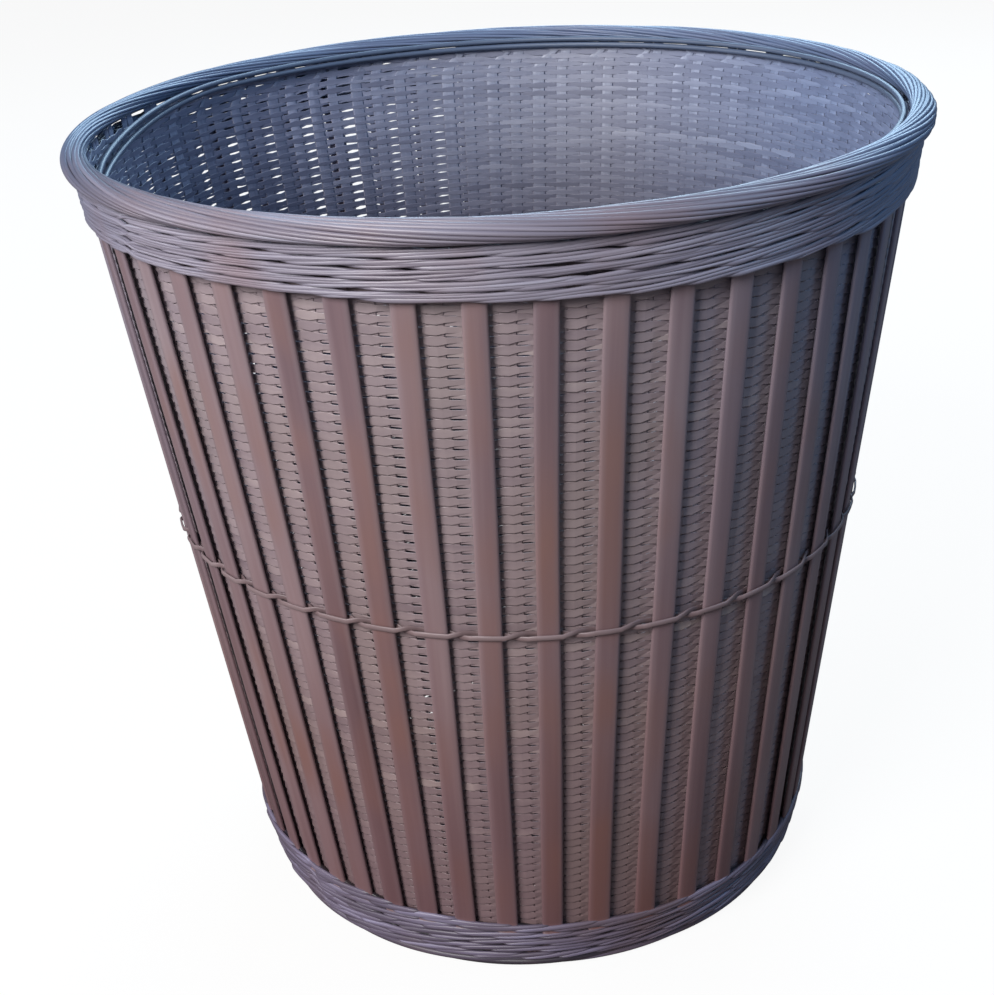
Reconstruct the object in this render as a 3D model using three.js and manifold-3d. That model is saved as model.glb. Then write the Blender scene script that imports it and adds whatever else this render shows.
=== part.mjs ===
// A round rattan wastebasket. A tapered woven wall stands on a rolled foot and ends under a rope rim.
// Flat upright slats lie outside the wall, held by a twined row at mid height and tucked at their
// ends under two waled bands. Millimetres, +Z up, origin on the floor in the middle of the foot.
import * as THREE from 'three';
import { mergeVertices } from 'three/addons/utils/BufferGeometryUtils.js';
import Module from 'manifold-3d';

const wasm = await Module();
wasm.setup();

// Driving dimensions: the whole basket
const basketHeight = 305;
const faceRadiusFoot = 112;
const faceRadiusTop = 150.8;
const clearance = 0.3;

// Driving dimensions: upright slats, whose outer faces lie on the face cone
const slatCount = 46;
const slatWidth = 8.2;
const slatThickness = 1.7;
const slatEdgeDrop = 0.7;
const slatCrownDrop = 0.12;
const firstSlatAngle = THREE.MathUtils.degToRad(-140.5);
const slatSpread = THREE.MathUtils.degToRad(1.7);
const slatSpreadWaves = 2;
const slatSpreadPhase = THREE.MathUtils.degToRad(92);
const slatLean = THREE.MathUtils.degToRad(2.7);
const slatLeanWaves = 3;
const slatLeanPhase = THREE.MathUtils.degToRad(62);
const slatTuck = 6;

// Driving dimensions: woven wall and base
const wallThickness = 1.5;
const openRowHeight = 3.2;
const openRowWidth = 10.2;
const baseThickness = 2.6;
const baseLift = 1.8;
const baseRise = 1.8;

// Driving dimensions: rope rim, four plies of three canes laid left-handed round a core
const rimSetOut = 0.1;
const rimHalfWidth = 4.9;
const rimHalfHeight = 3.7;
const rimTilt = THREE.MathUtils.degToRad(-24);
const rimPlies = 4;
const canesPerPly = 3;
const rimTurns = 3;
const rimSteps = 72;
const plyDepth = 2.1;
const caneGroove = 0.6;
const outerCaneDrop = 0.3;

// Driving dimensions: bands, hoops, twined row and foot
const upperBandHeight = 17.4;
const upperBandDrop = 0.4;
const upperBandRows = 5;
const upperBandSwell = 2.6;
const lowerBandHeight = 20.4;
const lowerBandRows = 5;
const lowerBandSwell = 2.4;
const lowerBandFootDepth = 3.2;
const rowGroove = 0.7;
const hoopCane = 2.1;
const upperHoopSag = 7.7;
const lowerHoopSag = 10;
const hoopSagMiddle = THREE.MathUtils.degToRad(190);
const hoopSagReach = THREE.MathUtils.degToRad(50);
const hoopSteps = 72;
const twineHeight = 157.8;
const twineDepth = 0.8;
const twineStrandHeight = 1.7;
const twineSideHeight = 0.8;
const footInset = 1.8;
const footWidth = 6.4;
const footHeight = 4.4;
const rowWaveFoot = 3.4;
const rowWaveTop = 1.8;
const rowWaves = 2;
const rowWavePhase = THREE.MathUtils.degToRad(98);

// Colours of old, dusty rattan
const slatColour = 0x7d5c54;
const weaveColour = 0x77696a;
const caneColour = 0x837880;
const footColour = 0x554e58;

const turn = Math.PI * 2;
const slatPitch = turn / slatCount;
const wallSides = slatCount * 2;
const faceRadius = (z) => faceRadiusFoot + (faceRadiusTop - faceRadiusFoot) * z / basketHeight;
const wallTilt = Math.atan((faceRadiusTop - faceRadiusFoot) / basketHeight);
const slatStandoff = twineDepth + 2 * clearance;
const wallOuter = (z) => faceRadius(z) - slatThickness - slatStandoff;
const wallInner = (z) => wallOuter(z) - wallThickness;
const acrossCorners = (radius, sides) => radius / Math.cos(Math.PI / sides);
const acrossFlats = (radius, sides) => radius * Math.cos(Math.PI / sides);

// The rim section is an oval tilted so that its outer edge hangs lower than its inner one
const rimRadius = faceRadiusTop + rimSetOut;
const rimReachUp = Math.hypot(rimHalfWidth * Math.sin(rimTilt), rimHalfHeight * Math.cos(rimTilt));
const rimCentreHeight = basketHeight - rimReachUp;

// Height of the rim's underside at a radius, from the equation of its tilted oval
function rimUndersideAt(radius) {
  const out = radius - rimRadius;
  const sine = Math.sin(rimTilt);
  const cosine = Math.cos(rimTilt);
  const square = (sine / rimHalfWidth) ** 2 + (cosine / rimHalfHeight) ** 2;
  const linear = 2 * out * sine * cosine * (1 / rimHalfWidth ** 2 - 1 / rimHalfHeight ** 2);
  const constant = out ** 2 * ((cosine / rimHalfWidth) ** 2 + (sine / rimHalfHeight) ** 2) - 1;
  const root = Math.sqrt(Math.max(0, linear ** 2 - 4 * square * constant));
  return rimCentreHeight - (linear + root) / (2 * square);
}

const wallTop = rimUndersideAt(wallOuter(rimCentreHeight)) - clearance;
const upperBandTop = rimCentreHeight - rimReachUp - upperBandDrop;
const upperBandLow = upperBandTop - upperBandHeight;
const footTop = footHeight + clearance;
const lowerBandTop = footTop + lowerBandHeight;
const upperHoopHeight = wallTop + hoopCane / 2;
const lowerHoopHeight = upperHoopHeight - hoopCane - clearance;

// The edges of the bands and the twined row run a little up and down, more so near the foot
const rowShift = (angle, z) => {
  const reach = rowWaveFoot + (rowWaveTop - rowWaveFoot) * z / basketHeight;
  return -reach * Math.sin(rowWaves * (angle + rowWavePhase));
};

// Slats stand and lean a little unevenly, as hand-set ones do. They are wider apart at the front and
// back than at the sides, and the lean grows from top to foot.
const slatTopEnd = upperBandLow + slatTuck;
const slatFootEnd = lowerBandTop - slatTuck;
const slatAngle = (k, z) => {
  const even = firstSlatAngle + k * slatPitch;
  const top = even + slatSpread * Math.sin(slatSpreadWaves * (even + slatSpreadPhase));
  const share = (slatTopEnd - z) / (slatTopEnd - slatFootEnd);
  return top + share * slatLean * Math.sin(slatLeanWaves * (top + slatLeanPhase));
};

const basket = new THREE.Group();

function addPiece(name, geometry, colour, roughness) {
  const material = new THREE.MeshStandardMaterial({ color: colour, roughness, metalness: 0 });
  const mesh = new THREE.Mesh(geometry, material);
  mesh.name = name;
  basket.add(mesh);
}

function polar(radius, angle, z) {
  return new THREE.Vector3(radius * Math.cos(angle), radius * Math.sin(angle), z);
}

// Revolves a closed outline of [radius, height] points, with one corner of the ring at firstAngle
function revolve(outline, sides, firstAngle) {
  const points = outline.map(([radius, z]) => new THREE.Vector2(radius, z));
  if (outline[0][0] > 0) {
    points.push(points[0].clone());
  }
  const geometry = new THREE.LatheGeometry(points, sides, firstAngle + Math.PI / 2, turn);
  return geometry.rotateX(Math.PI / 2);
}

// Skins a row of equal sections; a closed row runs on into its first section, an open one is capped
function loft(sections, closed) {
  const sides = sections[0].length;
  const positions = sections.flat().flatMap((point) => [point.x, point.y, point.z]);
  const index = [];
  const spans = closed ? sections.length : sections.length - 1;
  for (let i = 0; i < spans; i++) {
    const here = i * sides;
    const next = ((i + 1) % sections.length) * sides;
    for (let j = 0; j < sides; j++) {
      const k = (j + 1) % sides;
      index.push(here + j, next + k, here + k, here + j, next + j, next + k);
    }
  }
  const last = (sections.length - 1) * sides;
  for (let j = 1; !closed && j < sides - 1; j++) {
    index.push(0, j, j + 1, last, last + j + 1, last + j);
  }
  const geometry = new THREE.BufferGeometry();
  geometry.setAttribute('position', new THREE.Float32BufferAttribute(positions, 3));
  geometry.setIndex(index);
  return geometry;
}

function toSolid(geometry) {
  const bare = geometry.clone();
  bare.deleteAttribute('normal');
  bare.deleteAttribute('uv');
  const merged = mergeVertices(bare);
  const mesh = new wasm.Mesh({
    numProp: 3,
    vertProperties: new Float32Array(merged.attributes.position.array),
    triVerts: new Uint32Array(merged.index.array),
  });
  return new wasm.Manifold(mesh);
}

function fromSolid(solid) {
  const { vertProperties, triVerts } = solid.getMesh();
  const geometry = new THREE.BufferGeometry();
  geometry.setAttribute('position', new THREE.Float32BufferAttribute(vertProperties, 3));
  geometry.setIndex(Array.from(triVerts));
  return geometry;
}

// Woven wall: a thin tapered shell that ends inside the rim's overhang. A row of openings between
// the upright stakes, just below the rim, leaves a tab at each slat.
const ringStart = firstSlatAngle - slatPitch / 4;

function wallGeometry() {
  let solid = toSolid(revolve([
    [wallInner(footTop), footTop],
    [wallOuter(footTop), footTop],
    [wallOuter(wallTop), wallTop],
    [wallInner(wallTop), wallTop],
  ], wallSides, ringStart));
  for (let k = 0; k < slatCount; k++) {
    const cutter = new THREE.BoxGeometry(6 * wallThickness, openRowWidth, 2 * openRowHeight);
    cutter.translate((wallOuter(wallTop) + wallInner(wallTop)) / 2, 0, wallTop);
    cutter.rotateZ(firstSlatAngle + (k + 0.5) * slatPitch);
    solid = solid.subtract(toSolid(cutter));
  }
  return fromSolid(solid);
}

addPiece('woven_wall', wallGeometry(), weaveColour, 0.72);

// Woven base: a thin disc inside the foot of the wall, raised a little in the middle
function baseGeometry() {
  const rim = (z) => acrossFlats(wallInner(z), wallSides) - clearance;
  const baseHeight = footTop + baseLift;
  const baseTop = baseHeight + baseThickness;
  const shoulder = 0.55 * rim(baseHeight);
  return revolve([
    [0, baseHeight + baseRise],
    [shoulder, baseHeight + 0.7 * baseRise],
    [rim(baseHeight), baseHeight],
    [rim(baseHeight), baseTop],
    [shoulder, baseTop + 0.7 * baseRise],
    [0, baseTop + baseRise],
  ], slatCount, ringStart);
}

addPiece('woven_base', baseGeometry(), weaveColour, 0.75);

// Upright slats: flat splints with rounded outer edges
function slatGeometry(k) {
  const half = slatWidth / 2;
  const outline = [
    [-half, -slatThickness],
    [half, -slatThickness],
    [half, -slatEdgeDrop],
    [0.76 * half, -slatCrownDrop],
    [0, 0],
    [-0.76 * half, -slatCrownDrop],
    [-half, -slatEdgeDrop],
  ];
  const foot = slatFootEnd + rowShift(slatAngle(k, slatFootEnd), lowerBandTop);
  const top = slatTopEnd + rowShift(slatAngle(k, slatTopEnd), upperBandLow);
  const sections = [foot, twineHeight, top].map((z) => {
    const angle = slatAngle(k, z);
    const across = new THREE.Vector3(-Math.sin(angle), Math.cos(angle), 0);
    return outline.map(([side, out]) => {
      const point = polar(faceRadius(z) + out, angle, z);
      return point.addScaledVector(across, side);
    });
  });
  return loft(sections, false);
}

for (let k = 0; k < slatCount; k++) {
  addPiece(`slat_${String(k + 1).padStart(2, '0')}`, slatGeometry(k), slatColour, 0.5);
}

// Twined row: two strands pass before and behind each slat in turn, and cross in every gap
const twineRise = (twineStrandHeight + clearance) / 2;
const twineFront = clearance + twineDepth / 2;
const twineBack = -slatThickness - clearance - twineDepth / 2;

function twineGeometry(startsInFront) {
  const sections = [];
  const dwell = (slatWidth / 2 + clearance) / faceRadius(twineHeight);
  const deep = twineDepth / 2;
  const tall = twineStrandHeight / 2;
  const side = twineSideHeight / 2;
  const outline = [[0, -tall], [deep, -side], [deep, side], [0, tall], [-deep, side], [-deep, -side]];
  const addSection = (angle, radius, height) => {
    sections.push(outline.map(([out, up]) => polar(radius + out, angle, height + up)));
  };
  for (let k = 0; k < slatCount; k++) {
    const inFront = (k % 2 === 0) === startsInFront;
    const angle = slatAngle(k, twineHeight);
    const following = slatAngle((k + 1) % slatCount, twineHeight) + (k + 1 === slatCount ? turn : 0);
    const middle = (angle + following) / 2;
    const height = twineHeight + rowShift(angle, twineHeight);
    const crossing = twineHeight + rowShift(middle, twineHeight);
    const over = (faceRadius(height) + (inFront ? twineFront : twineBack)) / Math.cos(dwell);
    const between = faceRadius(crossing) + (twineFront + twineBack) / 2;
    addSection(angle - dwell, over, height);
    addSection(angle + dwell, over, height);
    addSection(middle, between, crossing + (inFront ? twineRise : -twineRise));
  }
  return loft(sections, true);
}

addPiece('twine_strand_a', twineGeometry(true), slatColour, 0.55);
addPiece('twine_strand_b', twineGeometry(false), slatColour, 0.55);

// Waled bands: rows of cane laid over the slat ends, one rounded ridge to a row
const bandStart = firstSlatAngle - slatPitch / 2;

function rowRidges(low, high, rows, crownRadius) {
  const rowHeight = (high - low) / rows;
  const points = [[crownRadius(low) - rowGroove, low]];
  for (let row = 0; row < rows; row++) {
    const foot = low + row * rowHeight;
    for (const share of [0.3, 0.7]) {
      points.push([crownRadius(foot + share * rowHeight), foot + share * rowHeight]);
    }
    points.push([crownRadius(foot + rowHeight) - rowGroove, foot + rowHeight]);
  }
  return points;
}

// Skins a closed ring whose outline of [radius, height] points may change with the angle
function ringOf(outlineAt) {
  const sections = [];
  for (let k = 0; k < slatCount; k++) {
    const angle = bandStart + k * slatPitch;
    sections.push(outlineAt(angle).map(([radius, z]) => polar(radius, angle, z)));
  }
  return loft(sections, true);
}

const stepClearance = 2 * clearance;
const overSlats = (z) => acrossCorners(faceRadius(z) + clearance, slatCount);
const overWall = (z) => acrossCorners(wallOuter(z) + clearance, slatCount);

function upperBandGeometry() {
  const crown = (z) => acrossCorners(faceRadius(z) + upperBandSwell, slatCount);
  return ringOf((angle) => {
    const low = upperBandLow + rowShift(angle, upperBandLow);
    const step = low + slatTuck + stepClearance;
    return [
      ...rowRidges(low, upperBandTop, upperBandRows, crown),
      [overWall(upperBandTop), upperBandTop],
      [overWall(step), step],
      [overSlats(step), step],
      [overSlats(low), low],
    ];
  });
}

function lowerBandGeometry() {
  const crownTop = acrossCorners(faceRadius(lowerBandTop) + lowerBandSwell, slatCount);
  const crownFoot = acrossCorners(wallOuter(footTop) + lowerBandFootDepth, slatCount);
  const crown = (z) => {
    const share = (z - footTop) / (lowerBandTop - footTop);
    return crownFoot + (crownTop - crownFoot) * share;
  };
  return ringOf((angle) => {
    const top = lowerBandTop + rowShift(angle, lowerBandTop);
    const step = top - slatTuck - stepClearance;
    return [
      [overWall(footTop), footTop],
      ...rowRidges(footTop, top, lowerBandRows, crown),
      [overSlats(top), top],
      [overSlats(step), step],
      [overWall(step), step],
    ];
  });
}

addPiece('upper_waled_band', upperBandGeometry(), caneColour, 0.55);
addPiece('lower_waled_band', lowerBandGeometry(), footColour, 0.6);

// Two round hoops inside the top of the wall. They lie up beside the rim, and hang loose on one side.
function hoopGeometry(height, sag) {
  const caneRadius = hoopCane / 2;
  const corners = 6;
  const sections = [];
  for (let i = 0; i < hoopSteps; i++) {
    const angle = i * turn / hoopSteps;
    const reach = Math.min(1, Math.abs(angle - hoopSagMiddle) / hoopSagReach);
    const z = height - sag * Math.cos(reach * Math.PI / 2) ** 2;
    const seat = acrossFlats(wallInner(z), wallSides) - clearance;
    const centre = seat - caneRadius / Math.cos(wallTilt);
    const outline = [];
    for (let corner = 0; corner < corners; corner++) {
      const around = corner * turn / corners;
      const radius = centre + caneRadius * Math.cos(around);
      outline.push(polar(radius, angle, z + caneRadius * Math.sin(around)));
    }
    sections.push(outline);
  }
  return loft(sections, true);
}

addPiece('inner_hoop_upper', hoopGeometry(upperHoopHeight, upperHoopSag), caneColour, 0.5);
addPiece('inner_hoop_lower', hoopGeometry(lowerHoopHeight, lowerHoopSag), caneColour, 0.5);

// Rolled foot: a thick ring with a flat underside that the basket stands on
function footGeometry() {
  const half = footWidth / 2;
  const footRadius = wallOuter(footTop) - footInset;
  return revolve([
    [footRadius - 0.62 * half, 0],
    [footRadius + 0.62 * half, 0],
    [footRadius + 0.9 * half, 0.25 * footHeight],
    [footRadius + half, 0.55 * footHeight],
    [footRadius + 0.8 * half, 0.9 * footHeight],
    [footRadius + 0.5 * half, footHeight],
    [footRadius - 0.5 * half, footHeight],
    [footRadius - half, 0.55 * footHeight],
  ], slatCount, bandStart);
}

addPiece('rolled_foot', footGeometry(), footColour, 0.6);

// Rope rim: each ply is a flat group of canes laid round the core, and all plies turn together
function rimPoint(angle, around, drop) {
  const wide = (rimHalfWidth - drop) * Math.cos(around);
  const tall = (rimHalfHeight - drop) * Math.sin(around);
  const out = wide * Math.cos(rimTilt) - tall * Math.sin(rimTilt);
  const up = wide * Math.sin(rimTilt) + tall * Math.cos(rimTilt);
  return polar(rimRadius + out, angle, rimCentreHeight + up);
}

function plyOutline() {
  const caneSpan = turn / (rimPlies * canesPerPly);
  const halfSpan = turn / rimPlies / 2;
  const edgeGap = clearance / (rimHalfHeight - plyDepth / 2);
  const outline = [[-halfSpan + edgeGap, 0.5 * plyDepth]];
  for (let cane = 0; cane < canesPerPly; cane++) {
    const offset = cane - (canesPerPly - 1) / 2;
    outline.push([offset * caneSpan, Math.abs(offset) * outerCaneDrop]);
    if (cane < canesPerPly - 1) {
      outline.push([(offset + 0.5) * caneSpan, caneGroove + 0.5 * outerCaneDrop]);
    }
  }
  outline.push([halfSpan - edgeGap, 0.5 * plyDepth]);
  outline.push([halfSpan - edgeGap, plyDepth]);
  outline.push([0, plyDepth]);
  outline.push([-halfSpan + edgeGap, plyDepth]);
  return outline;
}

function plyGeometry(ply) {
  const outline = plyOutline();
  const sections = [];
  for (let i = 0; i < rimSteps; i++) {
    const angle = i * turn / rimSteps;
    const lay = ply * turn / rimPlies - rimTurns * angle;
    sections.push(outline.map(([around, drop]) => rimPoint(angle, lay + around, drop)));
  }
  return loft(sections, true);
}

for (let ply = 0; ply < rimPlies; ply++) {
  addPiece(`rim_ply_${ply + 1}`, plyGeometry(ply), caneColour, 0.45);
}

function rimCoreGeometry() {
  const coreDrop = plyDepth + 2 * clearance;
  const corners = 6;
  const outline = [];
  for (let i = 0; i < corners; i++) {
    const point = rimPoint(0, i * turn / corners, coreDrop);
    outline.push([point.x, point.z]);
  }
  return revolve(outline, slatCount, ringStart);
}

addPiece('rim_core', rimCoreGeometry(), caneColour, 0.6);

export default basket;
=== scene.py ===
import math

import bpy
import numpy as np
from mathutils import Matrix, Vector


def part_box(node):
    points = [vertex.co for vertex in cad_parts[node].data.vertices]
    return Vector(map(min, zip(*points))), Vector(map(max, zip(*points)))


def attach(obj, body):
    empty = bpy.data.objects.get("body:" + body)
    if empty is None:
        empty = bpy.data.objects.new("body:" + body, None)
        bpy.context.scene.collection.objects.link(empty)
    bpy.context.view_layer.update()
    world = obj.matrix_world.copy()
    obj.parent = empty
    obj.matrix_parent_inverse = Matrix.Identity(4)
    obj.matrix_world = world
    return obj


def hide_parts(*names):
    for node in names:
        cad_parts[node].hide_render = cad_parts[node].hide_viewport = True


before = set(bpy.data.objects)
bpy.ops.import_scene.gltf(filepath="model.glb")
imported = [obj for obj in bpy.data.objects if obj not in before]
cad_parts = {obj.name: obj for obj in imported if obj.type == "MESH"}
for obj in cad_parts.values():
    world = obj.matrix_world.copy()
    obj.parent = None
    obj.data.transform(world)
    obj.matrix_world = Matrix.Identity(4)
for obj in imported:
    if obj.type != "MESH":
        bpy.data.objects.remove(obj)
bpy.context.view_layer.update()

# A round rattan wastebasket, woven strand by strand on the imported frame: stakes and weavers for
# the wall, flat slats outside it, waled bands, a rope rim and a rolled foot. Sizes in millimetres.
random = np.random.default_rng(46)

MM = 0.001
TURN = 2 * math.pi

# The face cone that the slats' outer faces lie on
BASKET_HEIGHT = 305.0
FACE_FOOT = 112.0
FACE_TOP = 150.8

# Slats: count, width, uneven spacing, and the wave of their lean between top and foot
SLAT_COUNT = 46
SLAT_WIDTH = 8.2
SLAT_THICKNESS = 1.7
SLAT_TUCK = 6.0
FIRST_SLAT = math.radians(-140.5)
SLAT_SPREAD = math.radians(1.7)
SPREAD_WAVES = 2
SPREAD_PHASE = math.radians(92)
SLAT_LEAN = math.radians(2.7)
LEAN_WAVES = 3
LEAN_PHASE = math.radians(62)
SLAT_PITCH = TURN / SLAT_COUNT

# Stakes of the wall: one behind every slat and one in every gap
STAKE_COUNT = 2 * SLAT_COUNT
GAP_STAKE_WIDTH = 5.5
SLAT_STAKE_WIDTH = 4.8
STAKE_DEPTH = 0.36
STAKE_DRAW = 10
STAKE_NARROWING = 0.9
GAP_SHARE = 0.455 + 0.022 * random.standard_normal(SLAT_COUNT)
WALL_SET_BACK = 3.25
WALL_INNER_SIDE = 4.6

# Weavers of the wall, in pairs of rows: one passes outside the gap stakes, the other inside them
PAIR_PITCH = 3.5
OUTER_ROW_HEIGHT = 1.86
WEAVER_DEPTH = 0.32
WEAVER_SWING = 0.36
INNER_SWING_SHARE = 0.72
INNER_COVER = 0.42
OUTER_COVER = 0.88
WEAVE_TOP = 297.3

# Waled bands and the twined row, whose edges run a little up and down
UPPER_BAND_LOW = 279.35
UPPER_BAND_TOP = 296.75
LOWER_BAND_TOP = 25.1
FOOT_TOP = 4.7
TWINE_HEIGHT = 157.8
ROW_WAVE_FOOT = 3.4
ROW_WAVE_TOP = 1.8
ROW_WAVES = 2
ROW_WAVE_PHASE = math.radians(98)
UPPER_ROWS = 5
LOWER_ROWS = 5
BAND_CANE_DEPTH = 1.3

# Rope rim, laid left-handed
RIM_RADIUS = 150.9
RIM_HALF_WIDTH = 4.9
RIM_HALF_HEIGHT = 3.7
RIM_TILT = math.radians(-24)
RIM_PLIES = 4
CANES_PER_PLY = 5
RIM_TURNS = 3
CANE_HALF_DEPTH = 0.8
CANE_HALF_WIDTH = 0.8
TUCK_UNDER = 0.35
CORE_DEPTH = 2.75

# Stretches of the rim that are darker: middle and reach in degrees, and how much
RIM_DARKER_STRETCHES = ((-72, 45, 0.3), (-8, 45, 0.42), (-146, 36, 0.3), (-176, 36, 0.3))

# Hoops inside the top of the wall, that hang loose on the left, around 190 degrees
HOOP_CANE = 2.1
HOOP_SPACING = 0.3
HOOP_WALL_GAP = 0.35
UPPER_HOOP_SAG = 7.7
LOWER_HOOP_SAG = 10.0
SAG_MIDDLE = 190
SAG_REACH = 50


def node_height(node):
    low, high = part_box(node)
    return low[2] / MM, high[2] / MM


WALL_LOW, WALL_HIGH = node_height("woven_wall")
RIM_MIDDLE = BASKET_HEIGHT - math.hypot(
    RIM_HALF_WIDTH * math.sin(RIM_TILT), RIM_HALF_HEIGHT * math.cos(RIM_TILT)
)


def face_radius(z):
    return FACE_FOOT + (FACE_TOP - FACE_FOOT) * z / BASKET_HEIGHT


def row_shift(angle, z):
    """How far a row that lies at height z on average is moved up at this angle."""
    reach = ROW_WAVE_FOOT + (ROW_WAVE_TOP - ROW_WAVE_FOOT) * z / BASKET_HEIGHT
    return -reach * np.sin(ROW_WAVES * (angle + ROW_WAVE_PHASE))


def slat_angle(k, z):
    """Plan angle of slat k at height z; k and z may be arrays."""
    even = FIRST_SLAT + k * SLAT_PITCH
    top = even + SLAT_SPREAD * np.sin(SPREAD_WAVES * (even + SPREAD_PHASE))
    high = UPPER_BAND_LOW + SLAT_TUCK
    low = LOWER_BAND_TOP - SLAT_TUCK
    share = (high - z) / (high - low)
    return top + share * SLAT_LEAN * np.sin(LEAN_WAVES * (top + LEAN_PHASE))


def stake_angle(j, z):
    """Even stakes stand behind the slats, odd ones in the gaps between them."""
    k = j // 2
    behind = slat_angle(k, z)
    following = slat_angle(k + 1, z)
    share = GAP_SHARE[k % SLAT_COUNT]
    return np.where(j % 2 == 0, behind, behind + share * (following - behind))


def swell(angle, middle, reach):
    """1 at the middle angle, falling smoothly to 0 at reach on both sides; both in degrees."""
    away = np.abs((angle - math.radians(middle) + math.pi) % TURN - math.pi)
    return np.cos(np.minimum(1, away / math.radians(reach)) * math.pi / 2) ** 2


def wobble(angle, waves, amount):
    """A smooth closed wave round the basket, made of a few sines with seeded phases."""
    total = np.zeros_like(angle)
    for wave in waves:
        total += np.sin(wave * angle + random.uniform(0, TURN))
    return amount * total / math.sqrt(len(waves))


# Meshes from arrays of sections
def polar(radius, angle, z):
    return np.stack([radius * np.cos(angle), radius * np.sin(angle), z + 0 * radius], axis=-1)


def oval(corners, squareness=1.0):
    """Unit outline of an oval section, as (outward, up) pairs; squareness under 1 fills its corners."""
    turn = np.arange(corners) * TURN / corners
    across = np.sign(np.cos(turn)) * np.abs(np.cos(turn)) ** squareness
    up = np.sign(np.sin(turn)) * np.abs(np.sin(turn)) ** squareness
    return np.stack([across, up], axis=-1)


def swept(angle, radius, z, half_depth, half_height, outline):
    """Sections along strands that run round the basket, one outline at every angle."""
    out = radius[..., None] + half_depth[..., None] * outline[:, 0]
    up = z[..., None] + half_height[..., None] * outline[:, 1]
    return polar(out, angle[..., None] + 0 * out, up)


def strand_mesh(name, sections, closed, along, across, tone, inner=0.0, flat=()):
    """One mesh of many strands. sections is (strands, steps, corners, 3) in millimetres; along and
    tone are (strands, steps), across is (corners) or (strands, steps, corners), and inner, which is
    (corners), is 1 where a corner looks into the basket. The sides listed in flat are shaded flat."""
    strands, steps, corners, _ = sections.shape
    spans = steps if closed else steps - 1
    first = np.arange(strands)[:, None, None] * steps * corners
    here = np.arange(spans)[None, :, None] * corners
    following = (np.arange(1, spans + 1) % steps)[None, :, None] * corners
    corner = np.arange(corners)[None, None, :]
    neighbour = (corner + 1) % corners
    quads = np.stack([
        first + here + corner,
        first + following + corner,
        first + following + neighbour,
        first + here + neighbour,
    ], axis=-1).reshape(-1, 4)
    mesh = bpy.data.meshes.new(name)
    caps = 0 if closed else 2 * strands
    mesh.vertices.add(strands * steps * corners)
    mesh.vertices.foreach_set("co", (sections * MM).astype(np.float32).ravel())
    mesh.loops.add(len(quads) * 4 + caps * corners)
    mesh.polygons.add(len(quads) + caps)
    loops = [quads.ravel()]
    if not closed:
        ends = np.arange(strands)[:, None] * steps * corners
        loops.append((ends + np.arange(corners)[::-1][None, :]).ravel())
        loops.append((ends + (steps - 1) * corners + np.arange(corners)[None, :]).ravel())
    mesh.loops.foreach_set("vertex_index", np.concatenate(loops).astype(np.int32))
    starts = np.arange(len(quads)) * 4
    if caps:
        starts = np.concatenate([starts, len(quads) * 4 + np.arange(caps) * corners])
    mesh.polygons.foreach_set("loop_start", starts.astype(np.int32))
    mesh.update(calc_edges=True)
    shape = (strands, steps, corners)
    grain = np.stack([
        np.broadcast_to(along[..., None], shape),
        np.broadcast_to(across, shape),
        np.broadcast_to(np.arange(strands)[:, None, None] * 7.3, shape),
    ], axis=-1)
    layer = mesh.attributes.new("grain", "FLOAT_VECTOR", "POINT")
    layer.data.foreach_set("vector", grain.astype(np.float32).ravel())
    layer = mesh.attributes.new("tone", "FLOAT", "POINT")
    layer.data.foreach_set("value", np.broadcast_to(tone[..., None], shape).astype(np.float32).ravel())
    layer = mesh.attributes.new("inner", "FLOAT", "POINT")
    layer.data.foreach_set("value", np.broadcast_to(inner, shape).astype(np.float32).ravel())
    mesh.validate()
    mesh.shade_smooth()
    if flat:
        smooth = ~np.isin(np.arange(len(quads)) % corners, flat)
        mesh.polygons.foreach_set("use_smooth", np.concatenate([smooth, np.zeros(caps, bool)]))
    return mesh


def add_piece(name, mesh, material, replaced=()):
    piece = bpy.data.objects.new(name, mesh)
    bpy.context.scene.collection.objects.link(piece)
    mesh.materials.append(material)
    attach(piece, "root")
    if replaced:
        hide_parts(*replaced)
    return piece


# Materials
def colour(red, green, blue):
    """Linear colour from the 0 to 255 values a screen would show."""
    channels = []
    for value in (red, green, blue):
        share = value / 255
        channels.append(share / 12.92 if share <= 0.04045 else ((share + 0.055) / 1.055) ** 2.4)
    return (*channels, 1.0)


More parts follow.
